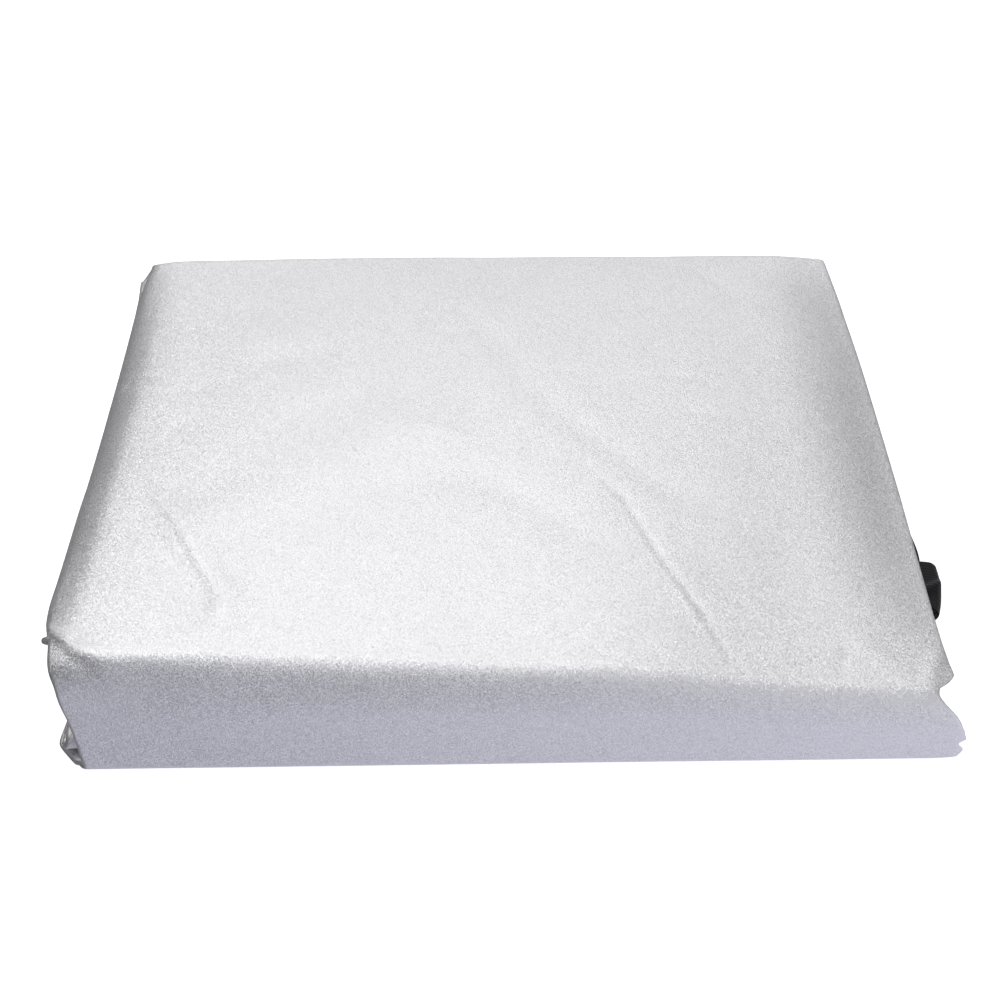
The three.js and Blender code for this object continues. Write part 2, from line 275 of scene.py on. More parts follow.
# Where the points of the outer cloth are: round the side folds, from there by shares of the way to
# the inset where they are evenly spaced, and in the middle. Inner lines have one of several there.
LEFT_FOLD_PLACES = 17
RIGHT_FOLD_PLACES = 11
SIDE_SHARES = (0.12, 0.25, 0.39, 0.54, 0.7, 0.86)
EVEN_INSET = 15
MIDDLE_SHARES = (0.042, 0.958)
MIDDLE_PLACES = 211
COARSE_EVERY = 6

# How far the creases and swells of the outer cloth take to fade in from its back and from its foot
BACK_FADE = 12
FOOT_FADE = 8

# Creases over the unfolded cloth: points to the right and to the back, height in the middle, how
# much one side stands over the other, half width, taper at the ends and sharpness
Crease = namedtuple("Crease", "points height lean width taper power")
CREASES = (
    Crease(((-165, -36), (-144, -67), (-131, -92), (-119, -113)), -0.45, 0.5, 2, 0.2, 1),
    Crease(((-169, -39), (-146, -70), (-132, -94), (-122, -111), (-121, -123), (-134, -140)),
           0, 2, 9, 0.3, 1),
    Crease(((-202, -127), (-190, -134), (-181, -139.5), (-172, -142.5), (-160, -145)),
           0, 1.7, 4.5, 0.2, 1),
    Crease(((194, -116), (188, -128), (184, -138), (177, -146)), 0, -1, 5, 0.3, 1),
    Crease(((104, -146), (112, -165), (118, -183)), -0.15, -0.2, 2.5, 0.3, 1),
    Crease(((38, -24), (55, -47), (69, -80), (81, -104), (93, -128), (99, -140)),
           -0.45, -0.5, 2, 0.2, 1),
    Crease(((70, -84), (83, -110), (94, -129)), 0.3, 0, 1.8, 0.3, 1.5),
    Crease(((84, -104), (93, -118)), -0.25, -0.15, 1.5, 0.4, 1),
    Crease(((-30, 115), (0, 65), (15, 32), (34, 5), (53, -15), (72, -35), (100, -51), (118, -59)),
           -0.42, 0, 8, 0.2, 2),
    Crease(((-65, -42), (-39, -40), (-13, -33), (28, -62), (52, -86), (63, -88)),
           -0.6, 0, 10, 0.3, 2),
    Crease(((-175, -90), (-126, -61), (-97, -40), (-72, -22), (-47, 2), (-20, -4), (10, -22)),
           0.75, 0, 16, 0.2, 2),
    Crease(((-47, 3), (-27, -2), (-4, -11)), 0.24, 0, 3.5, 0.4, 2),
    Crease(((101, 143), (117, 122), (126, 102)), -0.22, 0.15, 2.5, 0.3, 1),
    Crease(((-188, 44), (-177, 46), (-168, 41)), -0.75, 0, 3, 0.3, 2),
    Crease(((70, 43), (108, 40)), -0.18, 0, 3, 0.4, 2),
    Crease(((75, 15), (123, 11), (152, 21)), -0.22, 0, 3, 0.4, 2),
    Crease(((-140, 50), (-99, 57), (-71, 63)), -0.28, 0, 8, 0.4, 2),
    Crease(((149, -120), (143, -142)), -0.3, 0.22, 3, 0.3, 1),
    Crease(((144, -110), (163, -127), (178, -142)), 0.3, 0, 4, 0.3, 2),
    Crease(((-36, 88), (-25, 101), (-12, 90)), -0.18, 0, 3, 0.3, 2),
    Crease(((-35, 82), (-24, 75), (-13, 84)), -0.18, 0, 3, 0.3, 2),
)

# Broad swells of the outer cloth: middle to the right and to the back, rise, radii, and turn
SWELLS = table(("x", "v", "rise", "wide", "long", "turn"), (
    (-145, 34, -0.3, 9, 5, 10),
    (-151, 2, -0.25, 8, 8, 0),
    (-119, 77, 0.4, 22, 12, 0),
    (-96, 27, 0.3, 20, 12, 20),
))

# Ripples of the outer cloth: size of their hills, rise and seed
RIPPLES = table(("size", "rise", "seed"), (
    (60, 0.35, 3),
    (22, 0.08, 11),
))

# Soft lights: name, place, aim, width, height and watts
SOFT_LIGHTS = (
    ("overhead_box", (-0.35, 0.35, 1.55), (0, 0, 0), 1.6, 1.6, 12),
    ("right_card", (0.65, -0.75, 0.2), (0.1, -0.15, 0.02), 0.5, 0.3, 0.5),
)

# Radius and height of the backdrop in metres, how many sides its round has, and the width of the
# camera's sensor in millimetres
WALL_RADIUS = 3
ROUND_SIDES = 64
SENSOR_WIDTH = 36

# Clouds in the coating: size in metres, detail, and how far they sway its colour and roughness
CLOUD_SIZE = 0.045
CLOUD_DETAIL = 4
CLOUD_SWAY = 0.06

# Heights in millimetres of the cloth's threads and of the webbing's ribs, threads and fuzz, size of
# the fuzz in metres, and how far it darkens and brightens the black
THREAD_HEIGHT = 0.01
RIB_HEIGHT = 0.05
PICK_HEIGHT = 0.04
FUZZ_HEIGHT = 0.05
FUZZ_SIZE = 0.0006
FUZZ_SHADES = (0.7, 1.6)

# Clouds on the floor: size in metres and how far they darken it
FLOOR_CLOUD_SIZE = 0.4
FLOOR_CLOUD_SHADE = 0.99

# Name under which a mesh keeps where its points lie on the unfolded cloth
FLAT_PLACE = "flat_place"

# A line across the strip: its side folds, its places by x, where it lies on the unfolded cloth if it
# is outer cloth, its share of the fat fold's room, and the rounding of its left fold
Line = namedtuple("Line", "left right place unfolded room round")

# The places across the strip: share of the way across, shift to the right, share of the line's
# rounding, lift from -1 inside to 1 outside, and whether the inner lines have them too
Columns = namedtuple("Columns", "share shift rounds lift coarse")


def length(name, description, metres):
    return bpy.props.FloatProperty(name=name, description=description, default=metres, unit="LENGTH")


def number(name, description, value):
    return bpy.props.FloatProperty(name=name, description=description, default=value)


def factor(name, description, share):
    return bpy.props.FloatProperty(
        name=name, description=description, default=share, subtype="FACTOR", min=0, max=1)


def colour(name, description, shade):
    return bpy.props.FloatVectorProperty(
        name=name, description=description, default=shade, subtype="COLOR", min=0, soft_max=1)


def span(name, description, ends):
    return bpy.props.FloatVectorProperty(name=name, description=description, default=ends, size=2)


class CoverSizes(bpy.types.PropertyGroup):
    front: length("Front", "Face of the front bend, half way across", -0.1527)
    back: length("Back", "Where the back folds start to turn", 0.1495)
    layers: bpy.props.IntProperty(
        name="Layers", description="Layers of the folded strip", default=12, min=4, max=12)
    cloth_share: factor("Cloth share", "Share of a layer that is cloth, the rest is air", 0.7)
    bottom_bend: number(
        "Bottom bend", "Radius of the bend under the front, in layer thicknesses", 0.65)
    skew: number("Skew", "How far the front runs back for its length to the right", 0.02)
    fold_gap: length("Fold gap", "Between the front bend and the folds behind it", 0.0012)
    fine_step: length("Fine step", "Spacing of the cloth's points on the top and the front", 0.0018)
    coarse_step: length("Coarse step", "Spacing of the cloth's points in the inner layers", 0.012)
    wander: length("Wander", "How far the inner layers' side folds wander", 0.0012)


class StrapSizes(bpy.types.PropertyGroup):
    layer: bpy.props.IntProperty(
        name="Layer", description="The layer that the strap lies on", default=4, min=1, max=11)
    thickness: length("Thickness", "Thickness of the webbing", 0.0014)
    clearance: length("Clearance", "Between the strap and the cloth under it", 0.0003)


class Finishes(bpy.types.PropertyGroup):
    silver: colour("Silver", "Colour of the coated cloth", (0.792, 0.792, 0.808))
    silver_gloss: factor("Silver roughness", "Roughness of the coating", 0.5)
    silver_metal: factor("Silver metal", "How metallic the coating is", 0.88)
    weave: length("Weave", "Distance from thread to thread in the cloth", 0.00055)
    flake: length("Flake", "Size of the coating's glinting flakes", 0.00026)
    flake_tilt: number("Flake tilt", "How far the flakes' normals stray", 0.6)
    specks: factor("Specks", "How much paler or darker than the coating its flakes are", 0.17)
    black: colour("Black", "Colour of the webbing", (0.003, 0.003, 0.004))
    black_gloss: factor("Black roughness", "Roughness of the webbing", 0.55)
    ribs: length("Ribs", "Distance from rib to rib across the webbing", 0.0016)
    picks: length("Picks", "Distance from thread to thread along the webbing", 0.0011)
    floor: colour("Floor", "Colour of the floor", (0.93, 0.93, 0.93))
    floor_glow: number("Floor glow", "Light that the floor gives off, as a lit table does", 0.7)


class StudioSizes(bpy.types.PropertyGroup):
    back_light: colour("Back light", "Light from behind the bundle", (0.8, 0.79, 0.79))
    high_light: colour("High light", "Light from high behind the bundle", (0.92, 0.915, 0.92))
    left_light: colour("Left light", "Light from the left", (0.06, 0.055, 0.055))
    left_range: span(
        "Left range", "Where the back light starts to fade to the left and is gone", (-0.16, -0.66))
    right_light: colour("Right light", "Light from the right", (0.1, 0.095, 0.1))
    right_range: span(
        "Right range", "Where the back light starts to fade to the right and is gone", (0.28, 0.72))
    front_left: colour(
        "Front left light", "Light from the camera's side, at the left", (0.03, 0.03, 0.032))
    front_right: colour(
        "Front right light", "Light from the camera's side, at the right", (0.7, 0.7, 0.78))
    front_range: span(
        "Front range", "Where the front left light gives way to the front right", (-0.27, 0.13))
    low_left: colour("Low left light", "Light from below, at the left", (0.39, 0.385, 0.47))
    low_right: colour("Low right light", "Light from below, at the right", (0.83, 0.82, 0.98))
    low_range: span(
        "Low range", "Where the low left light gives way to the low right light", (-0.35, 0.2))
    low_left_range: span(
        "Low left range", "Where the low light starts to fade to the left and is gone", (-0.3, -0.65))
    high_zone: span(
        "High zone", "Height where the back light gives way to the high light", (0.48, 0.75))
    front_zone: span(
        "Front zone", "Depth where the light from behind gives way to the front light", (0, -0.7))
    low_zone: span(
        "Low zone", "Height where the other light gives way to the low light", (0, -0.75))
    camera: bpy.props.FloatVectorProperty(
        name="Camera", description="Place of the camera", default=(-0.004571, -0.627725, 0.560953),
        subtype="TRANSLATION", unit="LENGTH")
    camera_down: bpy.props.FloatProperty(
        name="Camera down", description="How far the camera looks down", default=math.radians(40.9),
        subtype="ANGLE", unit="ROTATION")
    lens: number("Lens", "Focal length in millimetres", 61.14)


def mix(start, end, share):
    return start + (end - start) * share


def smooth(rows, key, column, place):
    """A smooth curve through one column of a table whose rows rise in the key column."""
    keys, values = rows[key], rows[column]
    last = len(keys) - 1
    order = np.arange(last + 1)
    before = np.maximum(order - 1, 0)
    after = np.minimum(order + 1, last)
    slopes = (values[after] - values[before]) / (keys[after] - keys[before])
    at = np.clip(place, keys[0], keys[last])
    upper = np.clip(np.searchsorted(keys, at), 1, last)
    lower = upper - 1
    gap = keys[upper] - keys[lower]
    share = (at - keys[lower]) / gap
    straight = mix(values[lower], values[upper], share * share * (3 - 2 * share))
    bulge = share * (1 - share) * gap
    return straight + bulge * ((1 - share) * slopes[lower] - share * slopes[upper])


def sides(rows, key, place):
    """The left and the right value of a table at a place."""
    return [smooth(rows, key, side, place) for side in ("left", "right")]


def steps(start, end, spacing):
    """Evenly spaced values from start to end, about as far apart as asked."""
    count = max(1, round(abs(end - start) / spacing))
    return np.linspace(start, end, count + 1)


class FoldedStrip:
    """Where the layers and bends of the folded strip of cloth lie, in millimetres."""

    def __init__(self, sizes):
        self.front = sizes.front / MM
        self.back = sizes.back / MM
        self.layers = sizes.layers
        self.cloth_share = sizes.cloth_share
        self.bottom_bend = sizes.bottom_bend
        self.skew = sizes.skew
        self.fold_gap = sizes.fold_gap / MM
        self.fine_step = sizes.fine_step / MM
        self.coarse_step = sizes.coarse_step / MM
        self.wander = sizes.wander / MM
        self.bend_reach, self.bend_drop = self.bend(0)
        self.bend_start = self.face(0) + self.bend_reach

    def across_depth(self, y, front, middle, back):
        """The value at a depth of three that are given for the front, the middle and the back."""
        s = np.clip(y / self.back, -1, 1)
        return front * s * (s - 1) / 2 + middle * (1 - s * s) + back * s * (s + 1) / 2

    def top_height(self, x, y):
        front, middle, back = (smooth(HEIGHTS, "x", name, x) for name in ("front", "middle", "back"))
        return self.across_depth(y, front, middle, back) - self.side_roll(x, y)

    def side_roll(self, x, y):
        """How far the top lies lower near its side folds, steepest near the left one and a little
        way in from the right one."""
        left_fold, right_fold = sides(TOP_EDGES, "y", y)
        left = np.clip(1 - (x - left_fold) / smooth(SIDE_ROLLS, "y", "left_width", y), 0, 1)
        right = np.clip(1 - (right_fold - x) / smooth(SIDE_ROLLS, "y", "right_width", y), 0, 1)
        return (smooth(SIDE_ROLLS, "y", "left_drop", y) * left * left
                + smooth(SIDE_ROLLS, "y", "right_drop", y) * smoothstep(right ** RIGHT_ROLL_POWER))

    def fat_fold(self, x, y):
        """Room that the left fold of the top layer takes below it."""
        inset = np.maximum(x - smooth(TOP_EDGES, "y", "left", y), 0)
        return smooth(FAT_FOLD, "y", "room", y) * np.exp(-(inset / FAT_FOLD_REACH) ** 2)

    def bend(self, x):
        """How far the front bend reaches back and down."""
        height = self.top_height(x, self.front)
        return [smooth(FRONT_BENDS, "x", way, x) * height for way in ("reach", "drop")]

    def thickness(self, x, y):
        return self.cloth_share * self.top_height(x, y) / self.layers

    def height(self, layer, x, y):
        """Middle of the cloth in layer 1 at the bottom to the last at the top, or between two."""
        thickness = self.thickness(x, y)
        even = thickness / 2 + (layer - 1) * (self.top_height(x, y) - thickness) / (self.layers - 1)
        pressed = min((layer - 1) / (self.layers - 2), self.layers - layer)
        return even - pressed * self.fat_fold(x, y)

    def face(self, x):
        """Depth of the middle of the cloth on the front face, which is upright."""
        return self.front + self.thickness(x, self.front) / 2

    def pitch(self, x, y):
        return self.height(2, x, y) - self.height(1, x, y)

    def stray(self, layer, side, y):
        """How far a side fold strays from its smooth line."""
        place = Vector((y / WANDER_DEPTH, layer * WANDER_BY_LAYER, side * WANDER_BY_SIDE))
        return self.wander * noise.noise(place)

    def side_folds(self, layer, y):
        if layer == self.layers:
            return sides(TOP_EDGES, "y", y)
        if layer == 1:
            return sides(BOTTOM_EDGES, "y", y)
        ends = {name: values[layer - 2] for name, values in LAYER_EDGES.items()}
        left = self.across_depth(y, ends["left_front"], ends["left_middle"], ends["left_back"])
        right = self.across_depth(y, ends["right_front"], ends["right_middle"], ends["right_back"])
        return left + self.stray(layer, 0, y), right + self.stray(layer, 1, y)

    def layer_line(self, layer, y):
        def place(x):
            return y + self.skew * x, self.height(layer, x, y)

        return Line(*self.side_folds(layer, y), place, None, 0, FOLD_ROUND)

    def fanned(self, y, x):
        """Depth of a line of the top, which follows the front bend where it comes near it."""
        reach, _ = self.bend(x)
        start = self.face(x) + reach
        share = max(0, (y - FAN_START) / (self.bend_start - FAN_START))
        return y + share * (start - self.bend_start)

    def top_line(self, y):
        def place(x):
            depth = self.fanned(y, x)
            return depth + self.skew * x, self.height(self.layers, x, depth)

        ends = [self.fanned(y, x) for x in self.side_folds(self.layers, y)]
        left, right = (self.side_folds(self.layers, end)[side] for side, end in enumerate(ends))
        return Line(left, right, place, y, 1, smooth(FAT_FOLD, "y", "round", y))

    def front_depth(self, x, height):
        """Depth of the front cloth's middle at a height, where its bend leans back."""
        reach, drop = self.bend(x)
        start = self.height(self.layers, x, self.front) - drop
        rise = np.clip((height - start) / drop, 0, 1)
        return self.face(x) + reach * (1 - np.sqrt(1 - rise * rise))

    def front_line(self, up, place, unfolded):
        return Line(*sides(FRONT_EDGES, "up", up), place, unfolded, 0, FOLD_ROUND)

    def front_bend_line(self, angle):
        """A line on the front bend, by its angle from the top."""
        def place(x):
            reach, drop = self.bend(x)
            depth = self.face(x) + reach * (1 - math.sin(angle))
            rise = self.height(self.layers, x, depth) - drop * (1 - math.cos(angle))
            return depth + self.skew * x, rise

        up = 1 - SIDE_BEND * (1 - math.cos(angle))
        unfolded = self.bend_start - self.bend_length() * angle / (math.pi / 2)
        return self.front_line(up, place, unfolded)

    def bend_length(self):
        """Length of the front bend over the cloth, for a quarter of an ellipse."""
        return math.pi / 2 * math.sqrt((self.bend_reach ** 2 + self.bend_drop ** 2) / 2)

    def front_face_line(self, share, unfolded):
        """A line on the front face, by its share of the way down from the front bend."""
        def place(x):
            _, drop = self.bend(x)
            top = self.height(self.layers, x, self.front) - drop
            height = mix(top, BOTTOM_BEND_UP * self.top_height(x, self.front), share)
            return self.front_depth(x, height) + self.skew * x, height

        return self.front_line(mix(1 - SIDE_BEND, BOTTOM_BEND_UP, share), place, unfolded)

    def bottom_bend_line(self, angle, unfolded):
        """A line on the tight bend from the front face to the bottom layer."""
        def place(x):
            thickness = self.thickness(x, self.front)
            radius = self.bottom_bend * thickness
            depth = self.face(x) + radius * (1 - math.cos(angle))
            return depth + self.skew * x, thickness / 2 + radius * (1 - math.sin(angle))

        return self.front_line(BOTTOM_BEND_UP * (1 - math.sin(angle)), place, unfolded)

    def front_lines(self):
        """The front from the top layer's end down to the bottom layer's."""
        quarter = math.pi / 2
        bend = [self.front_bend_line(angle) for angle in
                steps(0, quarter, quarter * self.fine_step / self.bend_length())]
        height = self.top_height(0, self.front)
        face_height = ((1 - BOTTOM_BEND_UP) * height - self.bend_drop
                       - self.thickness(0, self.front) / 2)
        end = self.bend_start - self.bend_length()
        face = [self.front_face_line(share, end - share * face_height) for share in
                steps(0, 1, self.fine_step / face_height)[1:-1]]
        foot = end - face_height
        turn = [self.bottom_bend_line(angle, foot) for angle in
                np.linspace(0, quarter, BOTTOM_BEND_STEPS + 1)]
        return bend + face + turn

    def fold_start(self, layer, x):
        """Where the turn at the front of a layer and the next one up starts, clear of the bend."""
        thickness = self.thickness(x, self.front)
        wall = self.front_depth(x, self.height(layer + 1, x, self.front) + thickness / 2)
        tuck = FRONT_TUCK[layer // 2 - 1]
        return wall + thickness + self.fold_gap + self.pitch(x, self.front) / 2 + tuck

    def turn_line(self, start, end, side, angle):
        """A line on the half turn between two neighbouring layers, at the back or the front."""
        lower = min(start, end)
        nominal = self.back + BACK_REACH[(lower - 1) // 2] if side > 0 else self.front
        share = (1 + math.sin(angle)) / 2
        layer = mix(start, end, share)

        def place(x):
            centre = nominal if side > 0 else self.fold_start(lower, x)
            out = side * math.cos(angle) * self.pitch(x, nominal) / 2
            return centre + out + self.skew * x, self.height(layer, x, nominal)

        rounding = math.cos(angle)
        left, right = (mix(a, b, share) for a, b in
                       zip(self.side_folds(start, nominal), self.side_folds(end, nominal)))
        room = max(0, layer - self.layers + 1)
        return Line(left + rounding, right - rounding, place, None, room, FOLD_ROUND)

    def turn_lines(self, start, end, side):
        angles = np.radians(np.linspace(-TURN_ANGLE, TURN_ANGLE, TURN_LINES))
        return [self.turn_line(start, end, side, angle) for angle in angles]

    def back_end(self, layer):
        return self.back + BACK_REACH[(layer - 1) // 2]

    def inner_run(self, layer):
        """A run of an inner layer, front to back."""
        front_layer = layer if layer % 2 == 0 else layer - 1

        def front_place(x):
            return self.fold_start(front_layer, x) + self.skew * x, self.height(layer, x, self.front)

        first = Line(*self.side_folds(layer, self.front), front_place, None, 0, FOLD_ROUND)
        depths = steps(INNER_START, self.back_end(layer), self.coarse_step)
        return [first, *(self.layer_line(layer, y) for y in depths)]

    def lines(self):
        """All the lines across the strip, in the order in which it is folded."""
        top = self.layers
        found = [*self.inner_run(top - 1), *self.turn_lines(top - 1, top, 1)]
        top_depths = steps(self.back_end(top), self.bend_start, self.fine_step)[:-1]
        found += [self.top_line(y) for y in top_depths]
        found += self.front_lines()
        depths = [*steps(BOTTOM_START, BOTTOM_FINE_END, self.fine_step),
                  *steps(BOTTOM_FINE_END, self.back_end(1), self.coarse_step)[1:]]
        found += [self.layer_line(1, y) for y in depths]
        for layer in range(2, top - 1):
            forward = layer % 2 == 0
            run = self.inner_run(layer)
            found += self.turn_lines(layer - 1, layer, 1 if forward else -1)
            found += run[::-1] if forward else run
        return found


def cloth_columns():
    """Places across the unfolded strip, from the free edge of its left flap to the right one's."""
    rows = []

    def add(side_share, shift, lift, coarse=True, rounds=0):
        rows.append((side_share, shift, rounds, lift, coarse))

    # The left flap lies lowest and the right flap between it and the outer cloth
    hem_edge = FLAP_INSET - HEM_ROUND
    add(1, -FLAP_INSET - HEM_WIDTH, HEM_LIFT)
    add(1, -FLAP_INSET, HEM_LIFT)
    add(1, -hem_edge, mix(HEM_LIFT, LEFT_FLAP_LIFT, 0.5))
    add(1, -FLAP_INSET, LEFT_FLAP_LIFT)
    add(1, -FLAP_INSET - HEM_WIDTH, LEFT_FLAP_LIFT)
    for share in FLAP_SHARES[::-1]:
        add(share, 0, LEFT_FLAP_LIFT)
    for inset in FLAP_INSETS[::-1]:
        add(0, inset, LEFT_FLAP_LIFT, rounds=1)
    for angle in np.radians(np.linspace(-90, 90, LEFT_FOLD_PLACES)):
        lift = mix(LEFT_FLAP_LIFT, 1, (1 + math.sin(angle)) / 2)
        add(0, 0, lift, rounds=1 - math.cos(angle))
    for share in SIDE_SHARES:
        add(0, EVEN_INSET * share, 1, rounds=1 - share)
    for n, share in enumerate(np.linspace(*MIDDLE_SHARES, MIDDLE_PLACES)):
        add(share, 0, 1, n % COARSE_EVERY == 0)
    for share in SIDE_SHARES[::-1]:
        add(1, -mix(RIGHT_FOLD_ROUND, EVEN_INSET, share), 1)
    for angle in np.radians(np.linspace(90, -90, RIGHT_FOLD_PLACES)):
        lift = mix(RIGHT_FLAP_LIFT, 1, (1 + math.sin(angle)) / 2)
        add(1, -RIGHT_FOLD_ROUND * (1 - math.cos(angle)), lift)
    for inset in FLAP_INSETS:
        add(1, -inset, RIGHT_FLAP_LIFT)
    for share in FLAP_SHARES[::-1]:
        add(share, 0, RIGHT_FLAP_LIFT)
    add(0, FLAP_INSET, RIGHT_FLAP_LIFT)
    return Columns(*(np.array(column) for column in zip(*rows)))


def smoothstep(value):
    share = np.clip(value, 0, 1)
    return share * share * (3 - 2 * share)


def crease_relief(crease, x, v):
    """Height of one crease over the unfolded cloth."""
    points = np.array(crease.points, float)
    lengths = np.hypot(*np.diff(points, axis=0).T)
    starts = np.concatenate([[0], np.cumsum(lengths)])
    nearest = np.full(x.shape, np.inf)
    side = np.zeros(x.shape)
    along = np.zeros(x.shape)
    for (x1, v1), (x2, v2), run, start in zip(points, points[1:], lengths, starts):
        unit_x, unit_v = (x2 - x1) / run, (v2 - v1) / run
        place = np.clip((x - x1) * unit_x + (v - v1) * unit_v, 0, run)
        off_x, off_v = x - x1 - place * unit_x, v - v1 - place * unit_v
        distance = np.hypot(off_x, off_v)
        closer = distance < nearest
        nearest = np.where(closer, distance, nearest)
        side = np.where(closer, np.sign(unit_x * off_v - unit_v * off_x), side)
        along = np.where(closer, start + place, along)
    share = along / starts[-1]
    fade = smoothstep(share / crease.taper) * smoothstep((1 - share) / crease.taper)
    d = nearest / crease.width
    ridge = crease.height * np.exp(-(d ** crease.power))
    lean = crease.lean * side * d * np.exp(-d * d)
    return fade * (ridge + lean)


def swell_relief(x, v):
    """Height of the broad soft swells and dimples over the unfolded cloth."""
    height = np.zeros(x.shape)
    for cx, cv, rise, wide, long, turn in zip(*SWELLS.values()):
        c, s = math.cos(math.radians(turn)), math.sin(math.radians(turn))
        across, along = (x - cx) * c + (v - cv) * s, (v - cv) * c - (x - cx) * s
        height += rise * np.exp(-(across / wide) ** 2 - (along / long) ** 2)
    return height


def ripple(x, v, size, seed):
    """Smooth random height between about -1 and 1, with hills of about the size."""
    places = zip((x / size).ravel(), (v / size).ravel())
    return np.array([noise.noise(Vector((a, b, seed))) for a, b in places]).reshape(x.shape)


def relief(x, v):
    """How far the outer cloth stands out from its smooth shape, over the unfolded cloth."""
    height = swell_relief(x, v)
    for crease in CREASES:
        height += crease_relief(crease, x, v)
    for size, rise, seed in zip(*RIPPLES.values()):
        height += rise * ripple(x, v, size, seed)
    return height


def cloth_points(strip, lines, columns):
    """Points of the cloth by line and by place across, with how far each stands out."""
    left = np.array([line.left for line in lines])[:, None]
    right = np.array([line.right for line in lines])[:, None]
    room = np.array([line.room for line in lines])[:, None]
    rounds = np.array([line.round for line in lines])[:, None] * columns.rounds[None, :]
    x = mix(left, right, columns.share[None, :]) + columns.shift[None, :] + rounds
    middles = [line.place(xs) for line, xs in zip(lines, x)]
    y = np.array([depth for depth, _ in middles])
    z = np.array([height for _, height in middles])
    along = np.stack([np.gradient(y, axis=0), np.gradient(z, axis=0)])
    along /= np.hypot(*along)
    flat_y = y - strip.skew * x
    half = (strip.thickness(x, flat_y) - PLY) / 2
    out = columns.lift[None, :] * half
    wrap = [n for n, line in enumerate(lines) if line.unfolded is not None]
    v = np.array([lines[n].unfolded for n in wrap])[:, None] + np.zeros(x[wrap].shape)
    fade = smoothstep((strip.back - v) / BACK_FADE) * smoothstep((v - v.min()) / FOOT_FADE)
    out[wrap] += relief(x[wrap], v) * fade
    lower = room * strip.fat_fold(x, flat_y) * (1 - columns.lift[None, :]) / 2
    return np.stack([x, y + along[1] * out, z - along[0] * out - lower], axis=-1)


def cloth_faces(lines, columns):
    """Faces between neighbouring lines. Inner lines have only the coarse places across."""
    every = np.arange(len(columns.share))
    coarse = every[columns.coarse.astype(bool)]
    kept = [every if line.unfolded is not None else coarse for line in lines]
    starts = np.concatenate([[0], np.cumsum([len(places) for places in kept])])
    numbers = [dict(zip(places, range(start, start + len(places))))
               for places, start in zip(kept, starts)]
    faces = []
    for n in range(len(lines) - 1):
        shared = kept[n] if len(kept[n]) < len(kept[n + 1]) else kept[n + 1]
        for a, b in zip(shared, shared[1:]):
            near, far = ([rows[c] for c in range(a, b + 1) if c in rows] for rows in numbers[n:n + 2])
            faces.append((*far, *near[::-1]))
    return kept, faces


def lengths_along(points):
    """Length of the way down each column of points up to each of them."""
    lengths = np.linalg.norm(np.diff(points, axis=0), axis=-1)
    return np.concatenate([np.zeros((1, *lengths.shape[1:])), np.cumsum(lengths, axis=0)])


def strap_crease(line, across):
    """Height of the crease that slants over the strap, by line number and share across."""
    crease = STRAP_CREASE
    middle = crease.start + crease.slant * (line - crease.first)
    fade = smoothstep(line - crease.first) * smoothstep(crease.last - line)
    return crease.height * fade * np.exp(-((across - middle) / crease.width) ** 2)


def add_object(name, data):
    """An object of the scene that shows these data."""
    added = bpy.data.objects.new(name, data)
    bpy.context.scene.collection.objects.link(added)
    return added


def new_mesh(name, points, faces, flat):
    """A smooth mesh object in metres, with each point's place on the unfolded cloth."""
    mesh = bpy.data.meshes.new(name)
    mesh.from_pydata((points * MM).tolist(), [], faces)
    mesh.polygons.foreach_set("use_smooth", [True] * len(mesh.polygons))
    places = mesh.attributes.new(FLAT_PLACE, "FLOAT_VECTOR", "POINT")
    places.data.foreach_set("vector", np.column_stack([flat * MM, np.zeros(len(flat))]).ravel())
    mesh.validate()
    mesh.update()
    return add_object(name, mesh)


class Value:
    """A number in a shader. Arithmetic on it adds Math nodes."""

    def __init__(self, nodes, socket):
        self.nodes = nodes
        self.socket = socket

    def math(self, operation, *others):
        return self.nodes.node("ShaderNodeMath", {"operation": operation},
                                dict(enumerate((self, *others))))[0]

    def __add__(self, other):
        return self.math("ADD", other)

    __radd__ = __add__

    def __mul__(self, other):
        return self.math("MULTIPLY", other)

    __rmul__ = __mul__

    def __sub__(self, other):
        return self.math("SUBTRACT", other)

    def __rsub__(self, other):
        return self.math("MULTIPLY_ADD", -1, other)


class Nodes:
    """The node tree of a material or the world, and the one way to add nodes to it."""

    def __init__(self, owner):
        owner.use_nodes = True
        self.tree = owner.node_tree
        self.tree.nodes.clear()

    def node(self, kind, settings, inputs):
        """Adds a node and gives its outputs as values."""
        node = self.tree.nodes.new(kind)
        for name, setting in settings.items():
            setattr(node, name, setting)
        for name, given in inputs.items():
            if isinstance(given, Value):
                self.tree.links.new(given.socket, node.inputs[name])
            else:
                node.inputs[name].default_value = given
        return [Value(self, socket) for socket in node.outputs if socket.enabled]

    def vector(self, operation, *operands):
        inputs = dict(enumerate(operands))
        return self.node("ShaderNodeVectorMath", {"operation": operation}, inputs)[0]

    def noise(self, place, size, detail=2):
        """Noise between 0 and 1, with features of about the size in metres."""
        inputs = {"Vector": place, "Scale": 1 / size, "Detail": detail}
        return self.node("ShaderNodeTexNoise", {"noise_dimensions": "3D"}, inputs)[0]

    def tint(self, share, first, second):
        """A colour between two, by share."""
        ends = (end if isinstance(end, Value) else (*end, 1) for end in (first, second))
        inputs = dict(zip((0, 6, 7), (share, *ends)))
        return self.node("ShaderNodeMix", {"data_type": "RGBA"}, inputs)[0]

    def bump(self, height):
        """A normal from a height in millimetres."""
        return self.node("ShaderNodeBump", {}, {"Strength": 1.0, "Distance": MM, "Height": height})[0]

    def surface(self, inputs):
        shader = self.node("ShaderNodeBsdfPrincipled", {}, inputs)[0]
        self.node("ShaderNodeOutputMaterial", {}, {"Surface": shader})


